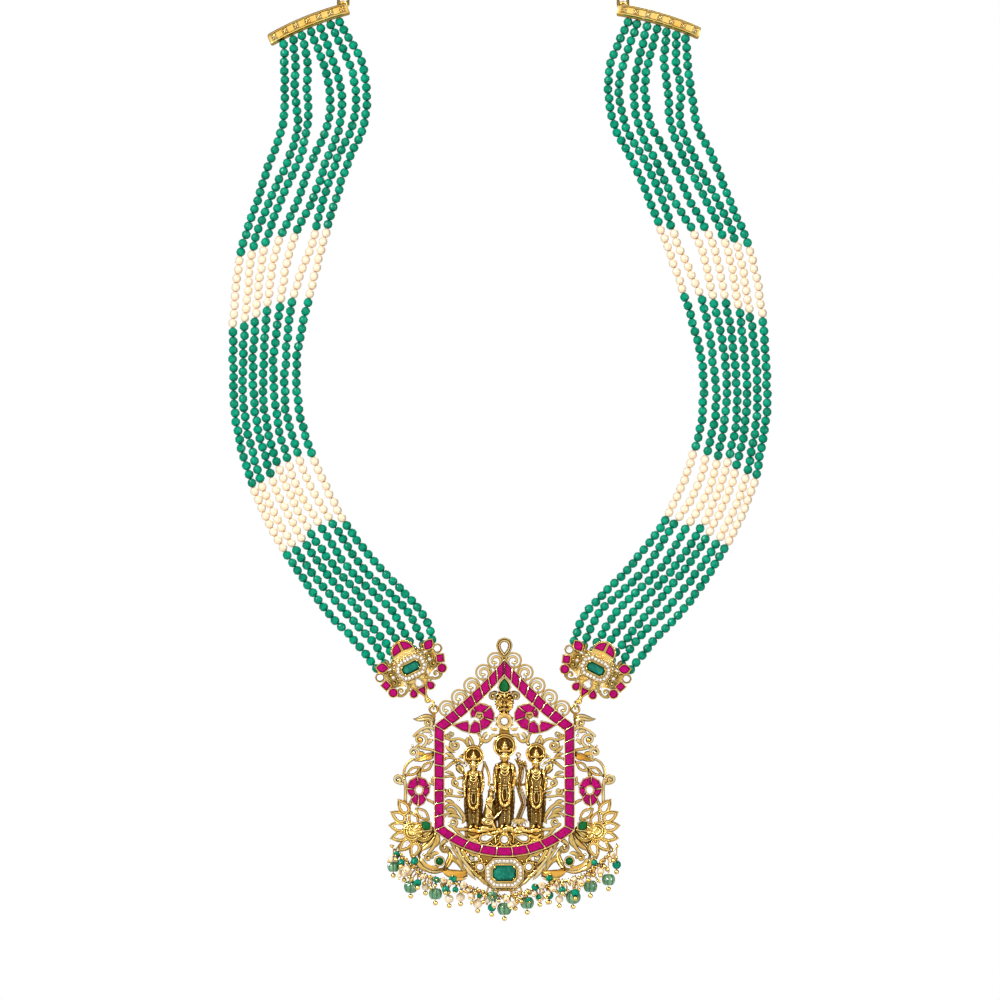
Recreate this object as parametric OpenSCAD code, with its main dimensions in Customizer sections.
// Temple necklace: fourteen strands of beads, two end bars with a back chain,
// two jewelled joiners and a pierced gable pendant that swings on two rings.
// Z is up, the pendant faces -Y, and the origin is the inside of the back
// chain at the nape. Left is the side of negative X.

/* [Neck loop] */
// Depth from the nape to the strands where they meet the joiners
loop_depth = 105; // [103:1:107]
// How far the strands lean back at the end bars
strand_lean = 13; // [12:0.5:14]
// Outer diameter of a strand of beads
strand_d = 2.9; // [2.6:0.1:2.9]

/* [Back chain] */
// Wire diameter of a chain link
link_wire = 1; // [0.8:0.1:1]
// Middle radius of a link's round ends
link_bend = 1.6; // [1.5:0.1:1.7]
// Length of a link's straight sides
link_side = 3; // [2.8:0.1:3.2]
// Links on each side of the clasp
link_count = 25; // [24:1:25]

/* [End bars] */
// Length of an end bar
bar_len = 28.4; // [28:0.2:29]
// Height of a bar's chased face
bar_h = 3.5; // [3.2:0.1:3.8]
// Thickness of a bar from front to back
bar_t = 3.4; // [3.2:0.1:3.8]

/* [Pendant] */
// Thickness of the pierced plate
plate_t = 1.2; // [1:0.1:1.3]
// Height of the stone walls above the plate's back
wall_top = 2.5; // [2.4:0.05:2.6]
// Height of the cut stones above the plate's back
stone_top = 3; // [2.9:0.05:3.2]
// Width of the walls between stones
wall_w = 0.5; // [0.4:0.05:0.6]
// Clearance between a stone and its setting
gap = 0.06; // [0.05:0.01:0.08]

/* [Swing] */
// Middle radius of the fixed ring under each joiner
bail_r = 1.15; // [1.1:0.05:1.2]
// Wire diameter of that ring
bail_wire = 0.7; // [0.6:0.05:0.7]
// Middle radius of the pendant's eyelets
eyelet_r = 1.3; // [1.25:0.05:1.35]
// Wire diameter of the eyelets
eyelet_wire = 0.8; // [0.7:0.05:0.8]

/* [Hidden] */
$fn = 32;
LEFT = 0;
RIGHT = 1;
gold = "goldenrod";
green = [0.03, 0.6, 0.42];
ruby = [0.72, 0.02, 0.4];
pearl = [0.98, 0.9, 0.76];
diamond = [0.95, 0.94, 0.92];

// Where each side's bar and joiner sit, in X and Z, drawn on the left:
// the right side is drawn there too and then mirrored
bar_centre = [[-65.5, -52.5], [-51.7, -51.5]];
bar_tilt = [22, 16.2];
bar_y = -loop_depth + strand_lean - 0.4;
bar_arch = 1;
joiner_centre = [[-31.1, -267.5], [-30.4, -267.9]];
joiner_tilt = [27, 27];
joiner_y = -loop_depth - strand_d / 2 - 0.15;
pendant_z = -295;
pendant_y = joiner_y + 0.9;
axis_w = 1.5;
axis_x = 23.6;
axis_z = -280.1;
seats = [0 : 6];

// Strand routes. Columns: height, then the distance from the middle of
// strands 1, the outermost, to 7
left_route = [
  [-65, 73.6, 69.8, 66, 60.9, 57.3, 52.2, 47.9],
  [-75, 73.4, 70.2, 65.9, 58.3, 54.5, 49.7, 46.1],
  [-86.7, 74.2, 68.9, 65.7, 59, 55, 50.7, 47.1],
  [-98.3, 78.1, 72.3, 68.7, 64.2, 59.4, 56, 52.1],
  [-111.7, 82.5, 78.5, 74.6, 69, 64.2, 60.5, 56.4],
  [-126.7, 87.3, 83.7, 79.9, 75.8, 71.2, 64.5, 60.7],
  [-145, 90.1, 85.9, 82.4, 78.8, 74.7, 70.7, 65.4],
  [-165, 90.5, 87.2, 83.9, 80.4, 77, 73, 69.3],
  [-181.7, 89.9, 86.7, 83.2, 80, 76.2, 72.9, 68.4],
  [-195, 87.5, 84.2, 80.4, 77.1, 73.3, 69.2, 64.8],
  [-208.3, 83.5, 80.3, 76, 72.1, 68.8, 64.1, 59],
  [-221.7, 77.2, 73.7, 69.2, 65.1, 60.3, 55.7, 51.5],
  [-235, 69.1, 64.8, 60.2, 55.8, 51.5, 46.5, 40.7],
  [-248.3, 59.5, 53.8, 48.6, 43.5, 37.8, 32.5, 28.1],
  [-258.3, 50.1, 44.4, 40.5]];
right_route = [
  [-65, 61.2, 57.4, 53.3, 48.2, 44.8, 39.9, 35.7],
  [-75, 62.3, 58.8, 54.6, 46.9, 43.1, 38.2, 34.8],
  [-86.7, 64.5, 59, 55.8, 49, 44.8, 40.4, 36.7],
  [-98.3, 70, 64, 60.3, 55.6, 50.4, 46.8, 42.8],
  [-111.7, 75.2, 71, 67.3, 61.9, 56.6, 52.7, 48.5],
  [-126.7, 81.4, 77.7, 74, 69.7, 65.3, 58, 54.2],
  [-145, 85.4, 81.2, 77.8, 73.8, 69.8, 65.9, 60.5],
  [-165, 87.1, 83.8, 80.4, 76.8, 73.6, 69.5, 65.8],
  [-181.7, 87.5, 84.3, 80.8, 77.6, 73.8, 70.5, 66.1],
  [-195, 85.6, 82.4, 78.7, 75.5, 71.7, 67.7, 63.4],
  [-208.3, 82.5, 79.2, 75.1, 71.4, 68.1, 63.9, 58.6],
  [-221.7, 76.8, 73.2, 68.8, 65.1, 60.2, 55.2, 51.4],
  [-235, 69, 64.7, 60, 55.8, 51.6, 46.6, 40.8],
  [-248.3, 59.5, 53.9, 48.7, 43.5, 37.9, 32.5, 28],
  [-258.3, 50, 44.1, 40.4]];
// Last bead in sight of each strand, in the joiner's own plane
last_bead = [[-10.8, 6.5], [-7.1, 7.2], [-3.7, 8.9], [0, 10.7], [3.5, 9.2],
  [7.3, 7.8], [11, 7.2]];
rail_v = 4.6;
rail_pitch = 3.6;

// Plane geometry
function unit(a) = a / norm(a);
function ray(r, a) = [r * cos(a), r * sin(a)];
function mix(a, b, t) = a + (b - a) * t;
function turn(p, a) = [p.x * cos(a) - p.y * sin(a), p.x * sin(a) + p.y * cos(a)];
function arc(c, r, a0, a1, n = 12) = [for (i = [0 : n]) c + ray(r, mix(a0, a1, i / n))];
function spiral(c, r0, r1, a0, a1, n = 10) =
  [for (i = [0 : n]) c + ray(mix(r0, r1, i / n), mix(a0, a1, i / n))];
function bend(a, b, c, d, n = 5) =
  [for (i = [0 : n]) let (t = i / n, s = 1 - t)
    a * s * s * s + b * 3 * s * s * t + c * 3 * s * t * t + d * t * t * t];
function across(p, i) =
  let (d = unit(p[min(i + 1, len(p) - 1)] - p[max(i - 1, 0)])) [-d.y, d.x];
function flip(p) = [for (q = p) [-q.x, q.y]];
function backwards(p) = [for (i = [len(p) - 1 : -1 : 0]) p[i]];
function moved(p, c, a) = [for (q = p) c + turn(q, a)];

// Stone outlines, counterclockwise round their middle
function round_shape(r, n = 8) = [for (i = [0 : n - 1]) ray(r, (i + 0.5) * 360 / n)];
function leaf_shape(l, w, n = 4) = concat(
  [for (i = [0 : n - 1]) let (t = i / n) [l * (0.5 - t), w / 2 * sin(180 * t)]],
  [for (i = [0 : n - 1]) let (t = i / n) [l * (t - 0.5), -w / 2 * sin(180 * t)]]);
function pear_shape(l, w, n = 10) = [for (i = [0 : n - 1]) let (a = i * 360 / n)
  [l / 2 * cos(a), 0.62 * w * sin(a) * pow(sin(a / 2), 0.9)]];
function cut_corner_shape(l, w, c) = [[l / 2, c - w / 2], [l / 2, w / 2 - c],
  [l / 2 - c, w / 2], [c - l / 2, w / 2], [-l / 2, w / 2 - c],
  [-l / 2, c - w / 2], [c - l / 2, -w / 2], [l / 2 - c, -w / 2]];

// A convex outline drawn in by d along both edges of every corner
function corner_in(p, i, d) =
  let (n = len(p), a = unit(p[i] - p[(i + n - 1) % n]), b = unit(p[(i + 1) % n] - p[i]),
    na = [-a.y, a.x], nb = [-b.y, b.x]) p[i] + (na + nb) * d / (1 + na * nb);
function inset(p, d) = [for (i = [0 : len(p) - 1]) corner_in(p, i, d)];

// A band along a path, its width going from w0 to w1
module ribbon(p, w0, w1) {
  n = len(p) - 1;
  polygon(concat(
    [for (i = [0 : n]) p[i] + across(p, i) * mix(w0, w1, i / n) / 2],
    [for (i = [n : -1 : 0]) p[i] - across(p, i) * mix(w0, w1, i / n) / 2]));
}
module both() {
  children();
  mirror([1, 0]) children();
}
module on_side(side) {
  if (side == RIGHT) mirror([1, 0, 0]) children();
  else children();
}
// Stands a drawing up so that its height points to the front
module upright(x, y, z, tilt = 0) {
  translate([x, y, z]) rotate([90, 0, 0]) rotate([0, 0, tilt]) children();
}
module at_pendant() upright(0, pendant_y, pendant_z) children();
module at_joiner(side) {
  c = joiner_centre[side];
  on_side(side) upright(c.x, joiner_y, c.y, joiner_tilt[side]) children();
}
module at_bar(side) {
  c = bar_centre[side];
  on_side(side) upright(c.x, bar_y + bar_t / 2, c.y, bar_tilt[side]) children();
}
module ring(major, wire) {
  rotate_extrude() translate([major, 0]) circle(d = wire);
}

// A cut stone: pavilion, girdle, crown and a flat table
module cut_stone(p, low, high, bevel = 0.35) {
  n = len(p);
  levels = [[low, bevel], [mix(low, high, 0.45), 0], [high, bevel]];
  points = [for (l = levels) for (q = inset(p, l[1])) [q.x, q.y, l[0]]];
  polyhedron(points, concat(
    [[for (i = [0 : n - 1]) i]],
    [for (k = [0 : 1]) for (i = [0 : n - 1]) let (j = (i + 1) % n)
      [k * n + i, k * n + n + i, k * n + n + j, k * n + j]],
    [[for (i = [n - 1 : -1 : 0]) 2 * n + i]]));
}
// A step-cut stone with two crown steps
module step_stone(p, low, high, bevel) {
  cut_stone(p, low, mix(low, high, 0.7), bevel);
  translate([0, 0, mix(low, high, 0.7) - 0.02])
    linear_extrude(0.3 * (high - low) + 0.02) polygon(inset(p, bevel * 1.8));
}

// A tube with eight sides along a route
function side_of(p, i) = unit(cross(unit(p[min(i + 1, len(p) - 1)] - p[max(i - 1, 0)]), [0, 1, 0]));
function tube_rings(p, r, n) = [for (i = [0 : len(p) - 1])
  let (a = side_of(p, i), d = unit(p[min(i + 1, len(p) - 1)] - p[max(i - 1, 0)]), b = cross(d, a))
  for (k = [0 : n - 1]) let (t = (k + 0.5) * 360 / n) p[i] + r * (a * cos(t) + b * sin(t))];
module tube(p, r, n = 8) {
  last = (len(p) - 1) * n;
  polyhedron(tube_rings(p, r, n), concat(
    [[for (k = [n - 1 : -1 : 0]) k]],
    [for (i = [0 : len(p) - 2]) for (k = [0 : n - 1]) let (j = (k + 1) % n)
      [i * n + k, i * n + j, i * n + n + j, i * n + n + k]],
    [[for (k = [0 : n - 1]) last + k]]));
}

// Strands
function bar_arch_at(u) = bar_arch * (1 - pow(u * 2 / bar_len, 2));
bar_sill = bar_h / 2 + 0.7;
function bar_seat(k) = let (u = (k - 3) * 3.3) [u, bar_arch_at(u) - bar_sill - 0.75];
function lean_at(z) = -loop_depth + strand_lean * pow((z + 266) / 214, 2);
function placed(c, tilt, p) = let (q = c + turn(p, tilt)) [q.x, lean_at(q.y), q.y];
function rail_seat(k) = [(k - 3) * rail_pitch * 0.97, rail_v];
function strand_stops(side, k) =
  let (route = side == LEFT ? left_route : right_route)
  concat([placed(bar_centre[side], bar_tilt[side], bar_seat(k))],
    [for (row = route) if (k + 1 < len(row)) [-row[k + 1], lean_at(row[0]), row[0]]],
    [for (p = [last_bead[k], rail_seat(k)]) placed(joiner_centre[side], joiner_tilt[side], p)]);
// Adds a smooth halfway point to every stretch longer than a limit
function smooth(p, limit) = [for (i = [0 : len(p) - 1])
  let (a = p[max(i - 1, 0)], b = p[i], c = p[min(i + 1, len(p) - 1)], d = p[min(i + 2, len(p) - 1)])
  each (norm(c - b) > limit ? [b, (9 * (b + c) - a - d) / 16] : [b])];
module strand(side, k) {
  color(k % 2 == 0 ? green : [0.05, 0.66, 0.46])
    on_side(side) tube(smooth(strand_stops(side, k), 12.5), strand_d / 2);
}

// End bars
function bar_band(l, low, high, n = 16) = concat(
  [for (i = [0 : n]) let (u = l * (i / n - 0.5)) [u, bar_arch_at(u) + low]],
  [for (i = [n : -1 : 0]) let (u = l * (i / n - 0.5)) [u, bar_arch_at(u) + high]]);
floret_r = 1.05;
module end_bar(side) {
  color(gold) at_bar(side) {
    difference() {
      union() {
        linear_extrude(bar_t - 0.5) polygon(bar_band(bar_len - 0.6, -bar_sill, bar_h / 2 - 0.2));
        translate([0, 0, 0.3]) linear_extrude(bar_t - 0.6) polygon(bar_band(bar_len, -bar_h / 2, bar_h / 2));
        translate([0, 0, 0.8]) linear_extrude(bar_t - 0.8)
          polygon(bar_band(bar_len + 0.2, -bar_h / 2 - 0.1, -bar_h / 2 + 0.5));
        for (i = [-3 : 3]) let (u = i * bar_len / 7.2)
          translate([u, bar_arch_at(u) + 0.3, 1]) cylinder(r = floret_r, h = bar_t - 1.1);
      }
      for (k = seats)
        translate([bar_seat(k).x, bar_arch_at(bar_seat(k).x) - bar_sill, bar_t / 2])
          rotate([90, 0, 0]) cylinder(r = 0.35, h = 2.2, center = true, $fn = 12);
    }
    translate(bar_eye_local) rotate([0, 90, -bar_tilt[side]]) ring(bar_eye_r, link_wire);
  }
}

// Back chain: it leaves behind the inner end of each bar and runs to the nape
bar_eye_r = 1.5;
bar_eye_local = [bar_len / 2 - 1.6, 0.3, -bar_eye_r + 0.35];
function bar_eye(side) =
  let (c = bar_centre[side] + turn([bar_eye_local.x, bar_eye_local.y], bar_tilt[side]))
  [c.x, bar_y + bar_t / 2 - bar_eye_local.z, c.y];
hook_bend = 2;
hook_wire = 1.2;
nape_y = hook_wire / 2;
function chain_route(side, n = 80) =
  let (a = bar_eye(side), e = [-2 * hook_bend - hook_wire / 2 - link_wire / 2 - 0.05, nape_y, 0])
  [for (i = [0 : n]) let (t = 90 * i / n, s = 1 - sin(t))
    [mix(e.x, a.x, cos(t)), mix(e.y, a.y, s), a.z * pow(s, 2.2)]];
function lengths(p, i = 1, so_far = [0]) = i >= len(p) ? so_far :
  lengths(p, i + 1, concat(so_far, [so_far[i - 1] + norm(p[i] - p[i - 1])]));
function along(p, l, s) =
  let (i = max([for (j = [0 : len(p) - 2]) if (l[j] <= s) j]), t = (s - l[i]) / (l[i + 1] - l[i]))
  mix(p[i], p[i + 1], t);
module link() {
  for (s = [-1, 1]) {
    translate([s * link_side / 2, 0, 0]) rotate([0, 0, -90 * s - 90 * (s < 0 ? 2 : 0)])
      rotate_extrude(angle = 180) translate([link_bend, 0]) circle(d = link_wire, $fn = 24);
    translate([0, s * link_bend, 0]) rotate([0, 90, 0])
      cylinder(d = link_wire, h = link_side, center = true, $fn = 24);
  }
}
module back_chain(side) {
  route = chain_route(side);
  l = lengths(route);
  total = l[len(l) - 1];
  reach = (link_side / 2 + link_bend);
  pitch = (total - 2 * reach) / (link_count - 1);
  color(gold) on_side(side)
    for (i = [0 : link_count - 1]) {
      s = reach + i * pitch;
      p = along(route, l, s);
      t = unit(along(route, l, min(s + 1, total - 0.01)) - along(route, l, s - 1));
      translate(p) rotate([0, 0, atan2(t.y, t.x)]) rotate([0, -asin(t.z), 0])
        rotate([i % 2 == 0 ? 0 : 90, 0, 0]) link();
    }
}
module clasp_hook() {
  color(gold) translate([0, nape_y, 0]) rotate([90, 0, 0])
    for (s = [0, 180]) rotate([0, 0, s]) {
      translate([hook_bend, 0, 0]) rotate([0, 0, 180])
        rotate_extrude(angle = 290) translate([hook_bend, 0]) circle(d = hook_wire, $fn = 24);
      translate([hook_bend, 0, 0]) translate(ray(hook_bend, 110)) sphere(d = hook_wire * 1.3);
    }
}

// Joiners
joiner_t = 1.2;
joiner_wall = 2.2;
joiner_stone = 2.8;
petal_r = 4;
petal_mid = [0, 5.7];
joiner_halo = [10.7, 7.3];
joiner_gem = [6.2, 3.2];
joiner_tip = [0, -11.2];
joiner_knob = [0, -12.2];
knob_r = 1;
function quarter_petal() = concat([petal_mid + [0.28, 0.5]], arc(petal_mid, petal_r - 0.3, 0, 86, 5));
function block_shape(l, w) = [[l / 2, -w / 2], [l / 2, w / 2], [-l / 2, w / 2], [-l / 2, -w / 2]];
function joiner_cells() = concat(
  [inset(quarter_petal(), gap + 0.1)],
  [inset(moved(leaf_shape(4.2, 3.2), [8.6, 4.2], 30), 0.1)],
  [inset(moved(block_shape(2.5, 2.4), [10.1, -1.6], 70), 0.1)],
  [inset(moved(round_shape(1.5), [9.1, -4.8], 0), 0.1)],
  [inset(moved(pear_shape(3.1, 2.6, 8), [3.1, -8], 105), 0.1)]);
function joiner_point() = inset([joiner_tip + [0, 0.6], [1.5, -7.5], [-1.5, -7.5]], 0.12);
function joiner_whites() = [moved(round_shape(1.35), [10.7, 1.7], 0)];
module joiner_outline() {
  polygon(cut_corner_shape(joiner_halo.x + 0.4, joiner_halo.y + 0.4, 2.2));
  translate(petal_mid) circle(r = petal_r);
  both() {
    for (c = concat(joiner_cells(), joiner_whites())) offset(delta = 0.38) polygon(c);
    ribbon(spiral([6.5, -5.6], 1.8, 0.5, 190, 560), 0.8, 0.6);
    ribbon(bend([3, -5], [5, -7.4], [8, -8], [8.4, -5.6]), 0.9, 0.9);
    ribbon(bend([5, 3.4], [6.4, 1.6], [6.2, 5.6], [6.6, 5.8]), 0.8, 0.8);
    polygon([[4.8, 2.4], [9.6, 2.4], [9.2, -3.2], [4.6, -4.6]]);
  }
  polygon([[-4.4, -3.4], [4.4, -3.4], [3, -6.8], [1.9, -8.6], joiner_tip, [-1.9, -8.6], [-3, -6.8]]);
}
module joiner_walls() {
  difference() {
    union() {
      both() for (c = concat(joiner_cells(), joiner_whites())) offset(delta = 0.3) polygon(c);
      translate(petal_mid) circle(r = petal_r - 0.1);
      offset(delta = 0.25) polygon(joiner_point());
      offset(delta = 0.25) polygon(moved(pear_shape(3.2, 2.8), [0, -5.6], 90));
    }
    both() for (c = concat(joiner_cells(), joiner_whites())) offset(delta = gap) polygon(c);
    offset(delta = gap) polygon(joiner_point());
    polygon(cut_corner_shape(joiner_halo.x + 0.4, joiner_halo.y + 0.4, 2.2));
  }
}
module joiner(side) {
  pin = axis_local(side);
  color(gold) at_joiner(side) {
    linear_extrude(joiner_t) offset(delta = 0.01) joiner_outline();
    translate([0, 0, joiner_t - 0.2]) linear_extrude(joiner_wall - joiner_t + 0.2)
      offset(delta = 0.01) joiner_walls();
    translate([0, 0, joiner_t - 0.2]) linear_extrude(1.7) difference() {
      polygon(cut_corner_shape(joiner_halo.x, joiner_halo.y, 2));
      polygon(cut_corner_shape(joiner_gem.x + 1, joiner_gem.y + 1, 1.2));
    }
    translate([-10.6, rail_v - 1.7, -strand_d / 2 - 1.2]) cube([21.2, 1.5, strand_d / 2 + 1.3]);
    translate([joiner_knob.x, joiner_knob.y, pin.z]) sphere(r = knob_r);
    translate([0, joiner_tip.y - 0.3, pin.z]) rotate([-90, 0, 0]) cylinder(r = 0.7, h = 1.5);
    translate([0, 0, pin.z]) linear_extrude(0.8, center = true)
      ribbon([joiner_knob, [pin.x, pin.y] + turn([0, bail_r + 0.15], -joiner_tilt[side])], 0.8, 0.7);
    translate(pin) rotate([0, 90, -joiner_tilt[side]]) ring(bail_r, bail_wire);
  }
}
// The swing axis in a joiner's own plane
function axis_local(side) =
  let (p = turn([-axis_x, axis_z] - joiner_centre[side], -joiner_tilt[side]))
  [p.x, p.y, joiner_y - pendant_y + axis_w];
module joiner_emerald(side) {
  color("seagreen") at_joiner(side) translate([0, 0, joiner_t + gap])
    step_stone(cut_corner_shape(joiner_gem.x, joiner_gem.y, 0.9), 0, 2.5, 0.35);
}
module joiner_rubies(side) {
  color(ruby) at_joiner(side) {
    for (c = joiner_cells()) {
      cut_stone(c, joiner_t + gap, joiner_stone, 0.3);
      cut_stone(backwards(flip(c)), joiner_t + gap, joiner_stone, 0.3);
    }
    cut_stone(joiner_point(), joiner_t + gap, joiner_stone, 0.3);
  }
}
module joiner_diamonds(side) {
  color(diamond) at_joiner(side) {
    for (c = joiner_whites()) {
      cut_stone(c, joiner_t + gap, joiner_stone, 0.25);
      cut_stone(backwards(flip(c)), joiner_t + gap, joiner_stone, 0.25);
    }
    cut_stone(moved(pear_shape(3.2, 2.8), [0, -5.6], 90), joiner_wall + gap, joiner_stone + 0.9, 0.4);
  }
}

// Pendant: the ruby channel, drawn for the left half from the apex down
apex = [[0, 30.3], [0, 25.2]];
shoulder = [[-23.3, 8.4], [-20.1, 6.5]];
corner = [[-23.3, -26.8], [-20.1, -25.3]];
arch_mid = [0, 0.2];
roof_sag = 0.9;
roof_cells = 8;
side_cells = 8;
arch_cells = 9;
// Edge 0 is the outer line of the channel and edge 1 the inner one
function roof_at(e, t) = mix(apex[e], shoulder[e], t) + 4 * t * (1 - t) * roof_sag * [0.68, -0.73];
function wall_at(e, t) = mix(shoulder[e], corner[e], t);
function arch_at(e, t) = let (r = norm(corner[e] - arch_mid),
  a = atan2(corner[e].y - arch_mid.y, corner[e].x - arch_mid.x) + 360)
  arch_mid + ray(r, mix(a, 540 - a, t));
function channel_cell(n, i, at) = let (a = i / n, b = (i + 1) / n)
  [at(0, a), at(0, b), at(1, b), at(1, a)];
function half_cells() = concat(
  [for (i = [0 : roof_cells - 1]) channel_cell(roof_cells, i, function (e, t) roof_at(e, t))],
  [for (i = [0 : side_cells - 1]) channel_cell(side_cells, i, function (e, t) wall_at(e, t))]);
arch_row = [for (i = [0 : arch_cells - 1]) channel_cell(arch_cells, i, function (e, t) arch_at(e, t))];
function channel_line(e) = concat(
  [for (i = [0 : 10]) roof_at(e, i / 10)], [for (i = [0 : 18]) arch_at(e, i / 18)],
  flip([for (i = [10 : -1 : 1]) roof_at(e, i / 10)]));

// Peacocks. Columns: start and end angle, inner radius, outer radii
side_eye = [-28.4, -13.2];
side_plumes = [[100, 172, 1.5, 4.4, 4.2], [20, 97, 1.5, 3.6, 4.4], [-48, 17, 1.5, 3.3, 3.6],
  [176, 226, 1.6, 4.1, 3.4], [-92, -52, 1.7, 5.6, 3.9], [230, 264, 1.7, 4.2, 5.4]];
roof_eye = [-8.4, 11.4];
roof_plumes = [[42, 128, 1.4, 4.7, 3.5], [-18, 38, 1.4, 5.1, 4.9], [-84, -22, 1.4, 4.9, 4.7],
  [132, 190, 1.3, 3.4, 2.6]];
roof_tail = [[[-8.2, 8.9], [-7.9, 6.1], [-9.7, 5.6], [-11.6, 5.8], [-11.2, 8.2], [-9.9, 9.7]],
  [[-12, 5.9], [-14.3, 6.6], [-17, 8.3], [-14.3, 9.2], [-12.3, 9.6], [-11.8, 8.2]]];
function plume(c, p, n = 2) = concat(
  [for (i = [0 : n]) c + ray(mix(p[3], p[4], i / n), mix(p[0], p[1], i / n))],
  [c + ray(p[2], p[1]), c + ray(p[2], p[0])]);
function peacock_cells() = concat(
  [for (p = side_plumes) inset(plume(side_eye, p), 0.12)],
  [for (p = roof_plumes) inset(plume(roof_eye, p), 0.12)],
  [for (p = roof_tail) inset(backwards(p), 0.12)]);

// Other stones of the left half. Columns: u, v, length, width, tilt
sun_petals = [[-33.6, -18.9, 4.2, 2.5, 125], [-35.2, -22.1, 4.2, 2.5, 150], [-35.4, -25.5, 4.3, 2.5, 172],
  [-34.9, -28.8, 4.3, 2.5, 192], [-33, -31.6, 4.2, 2.5, 222], [-29.9, -33.2, 4.2, 2.5, 252]];
leaf_stones = [[-25.8, -5.5, 3.8, 1.7, 40], [-30.3, -7, 4.2, 1.7, 30],
  [-27.3, -21.3, 4.8, 2.3, 140], [-30.2, -23.3, 5.2, 2.5, 112]];
leaf_emerald = [-26.1, -25.2, 3.9, 3.4, 140];
sun_hub = [-30.7, -27];
cabochon = [-21.6, -37];
cabochon_r = 1.3;
finial = [0, 34.2];
roof_drop = [0, 21.6];
daisy = [0, 9.6];
throne = [[0, -29.8, 2.9, 2.9, 0], [-5.9, -29.2, 4.5, 2.5, 10]];
flank = [-8.1, -38.9];
emerald = [0, -41];
emerald_size = [7.7, 5.1];
halo_size = [13, 10];
function stone_at(s, p) = moved(p, [s[0], s[1]], s[4]);
function sun_shapes() = [for (s = sun_petals) stone_at(s, pear_shape(s[2], s[3], 8))];
function leaf_shapes() = [for (s = leaf_stones) stone_at(s, leaf_shape(s[2], s[3]))];
function emerald_leaf() = stone_at(leaf_emerald, leaf_shape(leaf_emerald[2], leaf_emerald[3], 3));
function finial_shape() = moved(pear_shape(4.3, 3.2), finial, -90);
function roof_drop_shape() = moved(pear_shape(4.4, 3.6), roof_drop, 90);
function throne_shapes() = [moved(round_shape(1.45), [throne[0][0], throne[0][1]], 0),
  stone_at(throne[1], pear_shape(throne[1][2], throne[1][3], 8)),
  flip(backwards(stone_at(throne[1], pear_shape(throne[1][2], throne[1][3], 8))))];

// Scrolls of the left half. Columns: u, v, outer and inner radius, start and end angle
roof_scrolls = [[-3, 29.9], [-6.9, 25.9], [-10.9, 21.5], [-15, 17.6], [-19.2, 13.9]];
scrolls = [[-25.5, 8.9, 1.6, 0.5, -60, 320], [-28, 3.4, 2.5, 0.8, -70, 300],
  [-30.2, -0.8, 2, 0.6, -60, 300], [-35.4, -9.9, 1.8, 0.5, -20, 430],
  [-16.4, 1.6, 1.8, 0.5, 150, 560], [-18.6, 5, 1, 0.3, 180, 500],
  [-16.2, -11, 1.5, 0.4, 90, 430], [-18.2, -13.6, 1.2, 0.4, 180, 500],
  [-17, -24, 1.8, 0.5, 200, 580], [-19.9, -32.6, 1.6, 0.4, 120, 520],
  [-3.8, 17.9, 1.4, 0.4, 60, 430], [-8.4, 11.4, 1.1, 0.4, 0, 380],
  [-25.4, -35.9, 1.5, 0.4, 0, 400], [-17.8, -36.6, 1.3, 0.4, 30, 400]];
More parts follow.
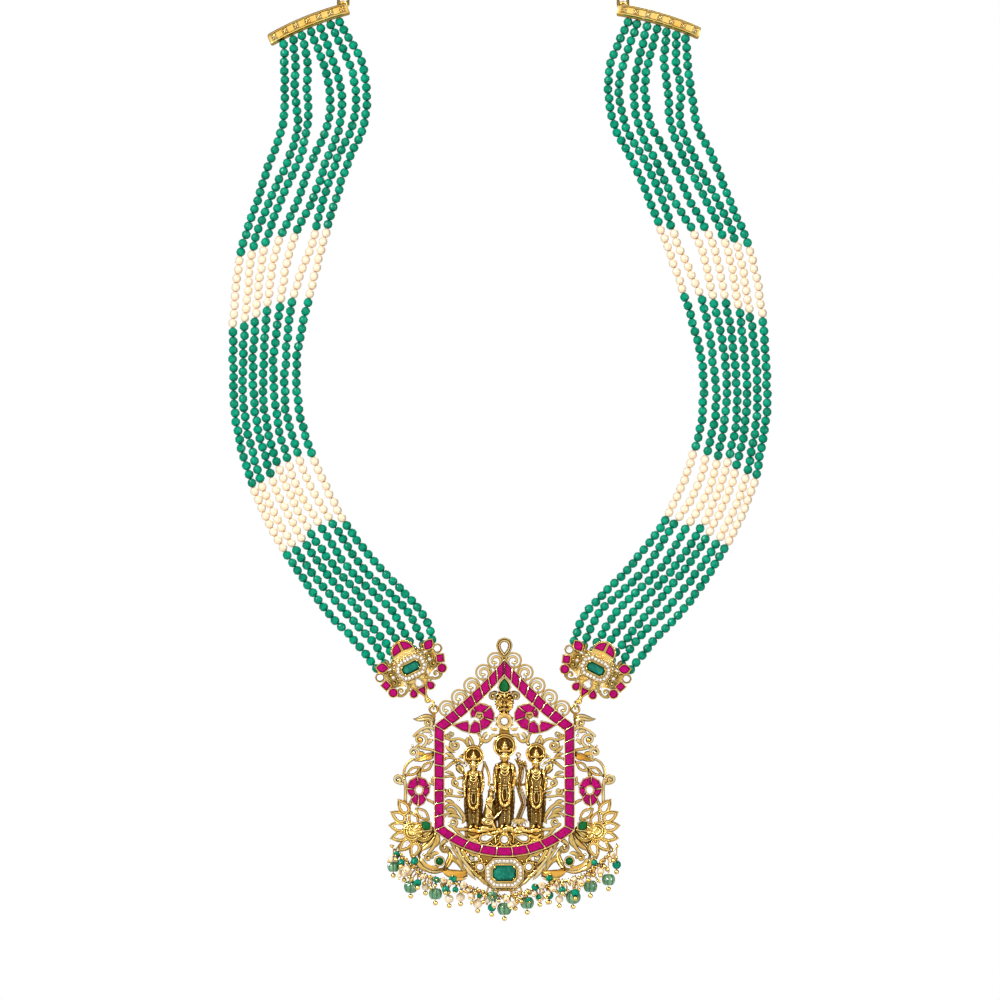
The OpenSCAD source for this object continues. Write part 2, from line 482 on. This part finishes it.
// Stems: four curve points, then the widths of both ends
stems = [[[-23.4, 9.4], [-25.5, 12.6], [-27.5, 9.6], [-30.4, 10.4], 1.8, 0.3],
  [[-23.2, 6.6], [-25, 8.6], [-28, 7.2], [-30.2, 4.6], 0.9, 0.7],
  [[-23.2, -0.4], [-25, 0.6], [-27, 0.2], [-28.2, 1], 0.9, 0.8],
  [[-23.4, -1.4], [-25, -1], [-27, -3.6], [-30, -3.4], 1.6, 0.6],
  [[-30.2, -3], [-33, -4], [-33.8, -7], [-33.4, -9.5], 0.7, 0.7],
  [[-33.4, -9.5], [-32.7, -12], [-33, -14.5], [-33, -17.4], 0.8, 0.9],
  [[-24.6, -11], [-24, -11.2], [-23.6, -11.4], [-23.2, -11.6], 0.8, 0.8],
  [[-25.4, -16.6], [-24.6, -17], [-23.8, -17.4], [-23.2, -17.8], 0.8, 0.8],
  [[-31.2, -17.2], [-31.6, -18.4], [-32, -19], [-32.6, -19.6], 0.9, 0.9],
  [[-20, 4.2], [-18.8, 3.6], [-17.6, 3.2], [-16.4, 3.3], 0.7, 0.7],
  [[-20, -6.4], [-18.4, -5.6], [-17.4, -3.6], [-15, -3.4], 0.7, 1.1],
  [[-20, -3.2], [-18.4, -1.6], [-16.4, -3], [-13.4, -4.4], 0.7, 0.7],
  [[-15.6, -4.6], [-15, -6], [-14.4, -7], [-13.4, -8], 2, 0.7],
  [[-20, -9], [-18.4, -8.6], [-17.2, -8.6], [-16.4, -9.4], 0.7, 0.7],
  [[-16, -12.2], [-15.2, -12.6], [-14.4, -13], [-13.4, -13.2], 0.7, 0.7],
  [[-20, -15.6], [-18.6, -14.6], [-17.6, -15.4], [-14, -15.6], 0.7, 0.7],
  [[-20.1, -19.6], [-17.6, -16.4], [-15.6, -18.6], [-13.4, -22.4], 0.8, 1.2],
  [[-20.1, -22.2], [-17.8, -19.6], [-16.6, -20.6], [-15.4, -22.4], 0.7, 0.9],
  [[-17, -25.8], [-15.4, -26.8], [-13.6, -26.4], [-11.8, -26.4], 1, 1],
  [[-16.8, -26], [-15.4, -27.4], [-14, -29.2], [-12.2, -30], 0.9, 0.9],
  [[-23.6, -25.8], [-26, -29], [-28.4, -29.6], [-30.6, -28.6], 1.6, 2],
  [[-23, -26.8], [-24, -30.6], [-27.4, -31.6], [-28.6, -34.8], 1.8, 1],
  [[-22, -27.8], [-22.6, -30.4], [-23.4, -32.4], [-25.4, -34.4], 1.4, 1],
  [[-28.6, -34.6], [-28.8, -39], [-24, -41.4], [-19.8, -39.8], 0.9, 1.6],
  [[-27.6, -36.6], [-26, -39.4], [-23.6, -39.4], [-22.2, -38.6], 1.2, 0.8],
  [[-19.4, -30], [-20.4, -30.8], [-20.8, -31], [-21.2, -31.6], 1.4, 0.8],
  [[-18.6, -33], [-17, -34.6], [-18.6, -38], [-20, -39.6], 1, 1.6],
  [[-15.6, -32.4], [-14.8, -36.4], [-10, -42], [-3.6, -46], 1, 1],
  [[-20, -39.6], [-17.4, -41.6], [-14.6, -41.8], [-12.4, -41.2], 1.6, 2.2],
  [[-7.4, 3.6], [-6.4, 2.4], [-5.2, 2.8], [-4, 4.6], 1.4, 0.6],
  [[-6.8, -4], [-5.8, -6], [-4.6, -8.4], [-5.2, -11.6], 0.8, 0.6],
  [[-12, 4.6], [-11, 3.6], [-10.6, 2.6], [-10.4, 1.4], 1, 0.8],
  [[-8.6, 1], [-7.4, 2.4], [-7.6, 4.4], [-9, 6], 0.8, 0.8],
  [[-17.2, 3.4], [-14.6, 4.4], [-13.2, 3.4], [-12, 1], 0.8, 0.7],
  [[-4.6, 5.2], [-3.8, 4.6], [-2.6, 5], [-2, 4.8], 0.8, 0.8],
  [[-24.6, -4.6], [-24.2, -4.2], [-23.8, -3.9], [-23.2, -3.7], 0.9, 0.9],
  [[-31.8, -8], [-32.4, -8.2], [-32.8, -8.5], [-33.2, -8.8], 0.9, 0.9],
  [[-28.2, -6.2], [-28.4, -7], [-28.5, -8], [-28.6, -9.2], 1.2, 1.2],
  [[-29.6, -3.4], [-28.6, -3], [-28.6, -2.6], [-29.1, -2.1], 0.8, 0.7],
  [[-29.6, 0.6], [-29.2, 1.2], [-28.8, 1.4], [-28.4, 1.6], 0.8, 0.8],
  [[-5.3, -11.4], [-4.8, -11.6], [-4, -11.6], [-3, -11.4], 0.8, 0.8],
  [[-6.7, -4.4], [-7, -5.4], [-7.2, -6.6], [-7.6, -7.8], 0.7, 0.8],
  [[-2.4, 19.2], [-2.8, 19.5], [-3.4, 19.6], [-3.9, 19.2], 0.8, 0.7],
  [[-20.2, -13.2], [-19.8, -13.2], [-19.4, -13.4], [-19, -13.6], 0.8, 0.8],
  [[-17.4, 3.4], [-17.8, 3.1], [-18, 2.7], [-17.9, 2], 0.8, 0.8],
  [[-3.4, 17.8], [-3, 17.6], [-2.7, 17.3], [-2.4, 16.9], 1, 1]];

// The three standing figures. Columns: u, foot level, height, head level, halo radius
standing = [[0.1, -25.9, 29.3, -2.4, 3.3], [-10.3, -26, 24.8, -5.2, 2.9], [10.6, -25.9, 25.2, -4.4, 2.9]];
function halo_at(f) = [f[0], f[3] + 4.1];
module figure_plate(f) {
  h = f[3] - f[1];
  polygon([for (q = [[-1, 1.6], [-1.2, -1.4], [-3.3, -2.4], [-3, -h * 0.45], [-2.7, -h * 0.62],
    [-2.3, -h], [2.3, -h], [2.7, -h * 0.62], [3, -h * 0.45], [3.3, -2.4], [1.2, -1.4], [1, 1.6]])
    [f[0], f[3]] + q]);
}

// The rail that the drops hang from, left half, from the outside in
rail_stops = [[-36.3, -33.4], [-33.4, -36.4], [-30.6, -38.8], [-26.4, -42], [-21, -43.6],
  [-15.4, -44.6], [-10.6, -46.2], [-5.4, -48], [0, -49]];
rail_struts = [-30.6, -27.7, -16.6, -6, -2.6];
function rail_at(u) = let (x = -abs(u),
  i = max([for (j = [0 : len(rail_stops) - 2]) if (j == 0 || rail_stops[j].x <= x) j]),
  a = rail_stops[i], b = rail_stops[i + 1]) mix(a.y, b.y, (x - a.x) / (b.x - a.x));

module roof_scroll(c) {
  translate(c) rotate([0, 0, 43]) {
    ribbon(arc([0, 0], 2.5, -65, 235, 13), 0.55, 0.55);
    ribbon(spiral([-0.2, -0.2], 2.2, 0.8, -85, 200, 9), 0.8, 0.5);
    translate([-0.75, -0.35]) circle(r = 0.6, $fn = 10);
    ribbon(spiral([-1.3, -2], 0.9, 0.5, 100, 330, 5), 0.5, 0.4);
  }
}
module half_plate() {
  for (c = roof_scrolls) roof_scroll(c);
  for (s = scrolls) {
    ribbon(spiral([s[0], s[1]], s[2] - 0.15, s[3], s[4], s[5]), 0.75, 0.5);
    translate([s[0], s[1]]) circle(r = s[3] + 0.15, $fn = 10);
  }
  for (s = stems) ribbon(bend(s[0], s[1], s[2], s[3]), s[4], s[5]);
  for (c = concat(sun_shapes(), leaf_shapes(), peacock_cells())) offset(delta = 0.42) polygon(c);
  offset(delta = 0.42) polygon(emerald_leaf());
  translate(sun_hub) circle(r = 3.7, $fn = 24);
  translate(sun_hub + [-1.4, -0.6]) circle(r = 3.4, $fn = 24);
  translate(cabochon) circle(r = cabochon_r + 0.5, $fn = 20);
  translate([-axis_x, axis_z - pendant_z - 4.6]) square([1, 4], center = true);
  ribbon(rail_stops, 0.6, 0.6);
  ribbon([rail_stops[0], rail_stops[0] + [1.6, 2.2]], 0.6, 0.6);
  for (u = rail_struts) ribbon([[u, rail_at(u)], [u + 0.9, rail_at(u) + 2.7]], 0.6, 0.6);
}
module channel_band() {
  difference() {
    polygon(channel_line(0));
    polygon(channel_line(1));
  }
}
module shield() {
  polygon(concat([for (i = [2 : 16]) arch_at(0, i / 18)],
    [[14.4, -34.6], [10.6, -40.4], [3.8, -45.6], [2, -47], [-2, -47], [-3.8, -45.6],
      [-10.6, -40.4], [-14.4, -34.6]]));
}
module plate() {
  both() half_plate();
  channel_band();
  difference() {
    shield();
    both() for (p = [[-11.2, -36.4, 1], [-9.6, -36.2, 0.7], [-12.6, -34.8, 0.8]])
      translate([p.x, p.y]) circle(r = p[2], $fn = 12);
  }
  for (f = standing) {
    figure_plate(f);
    translate(halo_at(f)) circle(r = f[4], $fn = 28);
  }
  polygon(kneeling_plate);
  offset(delta = 1.1) polygon(finial_shape());
  polygon([[-0.7, 32.6], [-1.4, 29.4], [1.4, 29.4], [0.7, 32.6]]);
  offset(delta = 0.55) polygon(roof_drop_shape());
  translate(daisy) circle(r = 2.9, $fn = 24);
  translate([0, 15.6]) circle(r = 2.6, $fn = 24);
  polygon([[-2, 19.6], [-3.2, 16.4], [-1.4, 12], [1.4, 12], [3.2, 16.4], [2, 19.6]]);
  polygon([[-1, 24.5], [1, 24.5], [1, 26], [-1, 26]]);
  polygon([[-1.6, 7], [-2, 4.6], [2, 4.6], [1.6, 7]]);
  intersection() {
    polygon(channel_line(1));
    polygon([[-13, -34], [13, -34], [13.4, -25.4], [9, -25.6], [-9, -25.6], [-13.4, -25.4]]);
  }
  ribbon([[4.2, -2.8], [5.3, -6.7], [4.7, -13.8], [6.2, -18.6], [4.2, -23], [5, -27]], 0.8, 1);
  ribbon([[4.4, -4.4], [6.2, -4.9], [7.6, -5.6]], 0.8, 0.8);
  ribbon([[3.6, -11], [5.4, -11.6], [7.6, -11.4]], 0.8, 0.8);
}
kneeling_plate = [[-5.4, -13.6], [-3.6, -13.6], [-3.4, -16.6], [-1.2, -20], [-2.6, -22],
  [-2.4, -27.4], [-8.4, -27.4], [-8, -23.4], [-6.6, -19], [-5.8, -16.4]];
module pendant_frame() {
  color(gold) at_pendant() {
    linear_extrude(plate_t) offset(delta = 0.01) plate();
    for (s = [-1, 1]) union() {
      translate([s * axis_x, axis_z - pendant_z - eyelet_r, axis_w]) ring(eyelet_r, eyelet_wire);
      translate([s * axis_x, axis_z - pendant_z - 2 * eyelet_r - 0.85, axis_w / 2 + 0.2])
        cube([1.4, 1.5, axis_w + 0.3], center = true);
    }
  }
}

// Settings: closed gold cells on a thin floor, seated on the plate
setting_w = plate_t + gap;
floor_t = 0.4;
module setting() {
  translate([0, 0, setting_w]) {
    linear_extrude(floor_t) offset(delta = 0.01) children(0);
    translate([0, 0, floor_t - 0.1]) linear_extrude(wall_top - setting_w - floor_t + 0.1)
      offset(delta = 0.01) difference() {
        children(0);
        children(1);
      }
  }
}
module ruby_channel() {
  color(gold) at_pendant() setting() {
    channel_band();
    union() {
      both() for (c = half_cells()) polygon(inset(c, wall_w / 2 - gap));
      for (c = arch_row) polygon(inset(c, wall_w / 2 - gap));
    }
  }
}
function side_shapes() = concat(sun_shapes(), leaf_shapes(), peacock_cells(), [emerald_leaf()]);
module setting_side(side) {
  color(gold) on_side(side) at_pendant() setting() {
    difference() {
      union() {
        for (c = side_shapes()) offset(delta = 0.35) polygon(c);
        translate(cabochon) circle(r = cabochon_r + 0.4, $fn = 20);
        ribbon([sun_hub + [-3.2, 1], sun_hub + [0, 0], sun_hub + [3, 2.4]], 1.4, 1.4);
        ribbon([sun_hub + [-1, 4], sun_hub + [0, 0], sun_hub + [0.4, -5]], 1.4, 1);
        ribbon([sun_hub + [-3, -3], sun_hub + [0, 0]], 1, 1.4);
        translate(sun_hub) circle(r = 2, $fn = 24);
      }
      offset(delta = gap) channel_band();
    }
    union() {
      for (c = side_shapes()) offset(delta = gap) polygon(c);
      translate(cabochon) circle(r = cabochon_r, $fn = 20);
    }
  }
}
module setting_middle() {
  singles = concat([finial_shape(), roof_drop_shape()], throne_shapes());
  color(gold) at_pendant() {
    setting() {
      union() {
        for (c = singles) offset(delta = 0.45) polygon(c);
        translate(daisy) circle(r = 2.2, $fn = 24);
        for (a = [0 : 45 : 315]) translate(daisy + ray(2.1, a)) circle(r = 0.7, $fn = 10);
        both() translate(flank) circle(r = 1.75, $fn = 20);
        translate(emerald) polygon(cut_corner_shape(halo_size.x, halo_size.y, 2.8));
      }
      union() {
        for (c = singles) offset(delta = gap) polygon(c);
        translate(daisy) circle(r = 1.6, $fn = 24);
        both() translate(flank) circle(r = 1.4, $fn = 20);
        translate(emerald) polygon(cut_corner_shape(emerald_size.x + 0.8, emerald_size.y + 0.8, 1.5));
      }
    }
  }
}

// Figures in half relief: blocks with few sides, joined to one body
module limb(a, b, ra, rb) {
  hull() {
    translate(a) sphere(r = ra, $fn = 8);
    translate(b) sphere(r = rb, $fn = 8);
  }
}
module standing_figure(f) {
  h = f[3] - f[1];
  translate([f[0], f[3], setting_w]) intersection() {
    union() {
      translate([0, 4.1, 0]) difference() {
        cylinder(r = f[4], h = 0.9, $fn = 20);
        translate([0, 0, 0.4]) cylinder(r = f[4] - 0.7, h = 1, $fn = 20);
      }
      limb([0, 0.1, 1.5], [0, -0.7, 1.6], 1.2, 1);
      limb([0, 1.2, 1.2], [0, 2.8, 1.2], 1.15, 0.35);
      limb([0, -1, 0.9], [0, -2.6, 0.9], 0.8, 0.9);
      limb([-1.9, -3.2, 0.9], [1.9, -3.2, 0.9], 1.1, 1.1);
      limb([0, -3.6, 0.8], [0, -h * 0.42, 0.9], 2.2, 1.7);
      limb([0, -h * 0.45, 0.9], [0, -h * 0.6, 0.9], 2.1, 2.1);
      for (s = [-1, 1]) {
        limb([s * 0.9, -h * 0.6, 0.9], [s * 0.8, -h + 1, 0.9], 1.4, 0.9);
        limb([s * 0.9, -h + 0.6, 1], [s * 1.1, -h + 0.4, 2], 0.6, 0.5);
        limb([s * 2.7, -3.3, 0.9], [s * 3, -h * 0.38, 1.1], 0.75, 0.6);
        limb([s * 3, -h * 0.38, 1.1], [s * 2.4, -h * 0.5, 1.9], 0.6, 0.45);
      }
      limb([0, -h * 0.42, 2.2], [0, -h * 0.62, 2.3], 0.8, 0.7);
    }
    translate([-6, -h - 0.1, 0]) cube([12, h + 6, 6]);
  }
}
module kneeling_figure() {
  translate([0, 0, setting_w]) intersection() {
    union() {
      limb([-4.5, -14.7, 1.2], [-4.6, -15.2, 1.2], 1.15, 1);
      limb([-4.6, -13.9, 1.1], [-4.7, -13, 1.1], 0.8, 0.3);
      limb([-4.9, -17, 1], [-5.2, -20.6, 1], 1.5, 1.7);
      limb([-4, -17.4, 1.6], [-2.9, -19.8, 1.8], 0.6, 0.5);
      limb([-2.9, -19.8, 1.8], [-1.7, -20.4, 1.9], 0.5, 0.35);
      limb([-5.6, -22, 1], [-2.8, -23.4, 1.2], 1.5, 1.1);
      limb([-2.9, -23.4, 1.1], [-3.4, -26.6, 1], 1.1, 0.8);
      limb([-6.4, -22.4, 1], [-7.3, -26.2, 1], 1.5, 1.1);
    }
    translate([-10, -27.3, 0]) cube([12, 18, 6]);
  }
}
module figure(i) {
  color(gold) at_pendant() standing_figure(standing[i]);
}
module figure_kneeling() {
  color(gold) at_pendant() kneeling_figure();
}

// Pendant stones
seat_w = setting_w + floor_t + gap;
module frame_rubies() {
  color(ruby) at_pendant() {
    for (c = half_cells()) {
      cut_stone(inset(c, wall_w / 2), seat_w, stone_top);
      cut_stone(backwards(flip(inset(c, wall_w / 2))), seat_w, stone_top);
    }
    for (c = arch_row) cut_stone(inset(c, wall_w / 2), seat_w, stone_top);
  }
}
module stone_row(side, shapes, tint, bevel = 0.35) {
  color(tint) on_side(side) at_pendant() for (c = shapes) cut_stone(c, seat_w, stone_top, bevel);
}
module scroll_emerald(side) {
  color("darkgreen") on_side(side) at_pendant() translate([cabochon.x, cabochon.y, seat_w]) {
    cylinder(r = cabochon_r - gap, h = 0.8);
    translate([0, 0, 0.3]) intersection() {
      sphere(r = cabochon_r - gap);
      translate([-2, -2, 0]) cube([4, 4, 4]);
    }
  }
}
module daisy_stone() {
  color(diamond) at_pendant() cut_stone(moved(round_shape(1.5), daisy, 0), seat_w, stone_top);
}
module flank_stones() {
  color(diamond) at_pendant() for (s = [-1, 1])
    cut_stone(moved(round_shape(1.3), [s * flank.x, flank.y], 0), seat_w, stone_top, 0.3);
}
module centre_emerald() {
  color("seagreen") at_pendant() translate([emerald.x, emerald.y, 0])
    step_stone(cut_corner_shape(emerald_size.x, emerald_size.y, 1.3), seat_w, 4.4, 0.45);
}

// Drops. Columns: u, v and depth of the bead's middle, its radius and kind
PEARL = 0;
GREEN = 1;
MELON = 2;
drops = [
  [-34.5, -37.6, 2.9, 1.4, GREEN], [-37, -38.9, 0.6, 2.1, MELON], [-33.4, -41, 0.6, 1.5, PEARL],
  [-31.2, -45.6, -0.4, 2.4, MELON], [-28.9, -44.2, 3.6, 1.4, GREEN], [-26.3, -45.6, 0.6, 1.3, PEARL],
  [-23, -47.9, 0.6, 2.3, MELON], [-19.6, -46.4, 3.2, 1.4, GREEN], [-18.4, -49.6, 0.6, 1.5, PEARL],
  [-14.6, -49, 0.6, 1.5, PEARL], [-8.9, -51.2, 0.6, 1.6, PEARL], [-4.2, -52.5, 0.6, 1.5, GREEN],
  [0, -52.9, 0.6, 2.5, MELON], [3.6, -51, 0.8, 1, PEARL], [7.6, -50.9, 0.6, 2.4, MELON],
  [11.8, -49.2, 0.6, 1.5, PEARL], [15, -48.4, 0.6, 1.5, GREEN], [18.3, -49.7, 0.6, 1.4, PEARL],
  [22.9, -49, -0.6, 2.6, MELON], [23.6, -47.6, 3.7, 1.5, GREEN], [28.7, -45.4, 0.6, 2.4, MELON],
  [25.6, -44.2, 3.2, 1.2, PEARL], [34.7, -43.2, 0.6, 2.3, MELON], [37.4, -38.2, 0.6, 1.6, GREEN],
  [32, -40.4, 3, 1.3, PEARL], [19.3, -46.6, 3.2, 1.3, GREEN]];
pin_r = 0.22;
bore_r = 0.34;
eye_r = 1.05;
ball_r = 0.8;
function drop_top(d) = [d[0], rail_at(d[0]) - eye_r, plate_t / 2];
module along_drop(d) {
  v = [d[0], d[1], d[2]] - drop_top(d);
  translate(drop_top(d)) rotate([0, 0, atan2(v.x, -v.y)]) rotate([-asin(v.z / norm(v)), 0, 0]) children();
}
module drop_pins() {
  color(gold) at_pendant() for (d = drops) {
    l = norm([d[0], d[1], d[2]] - drop_top(d));
    along_drop(d) rotate([90, 0, 0]) cylinder(r = pin_r, h = l + d[3] + 0.3, $fn = 16);
    along_drop(d) translate([0, -l - d[3] - ball_r, 0]) sphere(r = ball_r, $fn = 20);
    translate([d[0], rail_at(d[0]), plate_t / 2]) rotate([0, 90, 0]) ring(eye_r, 2 * pin_r);
  }
}
module bead(d, r) {
  l = norm([d[0], d[1], d[2]] - drop_top(d));
  along_drop(d) translate([0, -l, 0]) difference() {
    sphere(r = r);
    rotate([90, 0, 0]) cylinder(r = bore_r, h = 3 * r, center = true, $fn = 16);
  }
}
module drop_beads(kind, tint) {
  color(tint) at_pendant() for (d = drops) if (d[4] == kind) bead(d, d[3] - 0.05);
}

for (k = seats) {
  strand(LEFT, k);
  strand(RIGHT, k);
}
end_bar(LEFT);  // end_bar_left
end_bar(RIGHT);  // end_bar_right
back_chain(LEFT);  // back_chain_left
back_chain(RIGHT);  // back_chain_right
clasp_hook();
joiner(LEFT);  // joiner_left
joiner(RIGHT);  // joiner_right
joiner_emerald(LEFT);  // joiner_emerald_left
joiner_emerald(RIGHT);  // joiner_emerald_right
joiner_rubies(LEFT);  // joiner_rubies_left
joiner_rubies(RIGHT);  // joiner_rubies_right
joiner_diamonds(LEFT);  // joiner_diamonds_left
joiner_diamonds(RIGHT);  // joiner_diamonds_right
pendant_frame();
ruby_channel();
setting_side(LEFT);  // setting_left
setting_side(RIGHT);  // setting_right
setting_middle();
figure(0);  // figure_center
figure(1);  // figure_left
figure(2);  // figure_right
figure_kneeling();
frame_rubies();
stone_row(LEFT, peacock_cells(), ruby);  // peacock_rubies_left
stone_row(RIGHT, peacock_cells(), ruby);  // peacock_rubies_right
stone_row(LEFT, sun_shapes(), diamond);  // sun_stones_left
stone_row(RIGHT, sun_shapes(), diamond);  // sun_stones_right
stone_row(LEFT, leaf_shapes(), diamond);  // petal_stones_left
stone_row(RIGHT, leaf_shapes(), diamond);  // petal_stones_right
stone_row(LEFT, [emerald_leaf()], "darkgreen");  // petal_emerald_left
stone_row(RIGHT, [emerald_leaf()], "darkgreen");  // petal_emerald_right
scroll_emerald(LEFT);  // scroll_emerald_left
scroll_emerald(RIGHT);  // scroll_emerald_right
stone_row(LEFT, [finial_shape()], diamond);  // finial_stone
stone_row(LEFT, [roof_drop_shape()], "darkgreen");  // roof_emerald
daisy_stone();
stone_row(LEFT, throne_shapes(), diamond);  // throne_stones
flank_stones();
centre_emerald();
drop_pins();
drop_beads(PEARL, pearl);  // drop_pearls
drop_beads(GREEN, green);  // drop_greens
drop_beads(MELON, "mediumseagreen");  // drop_melons
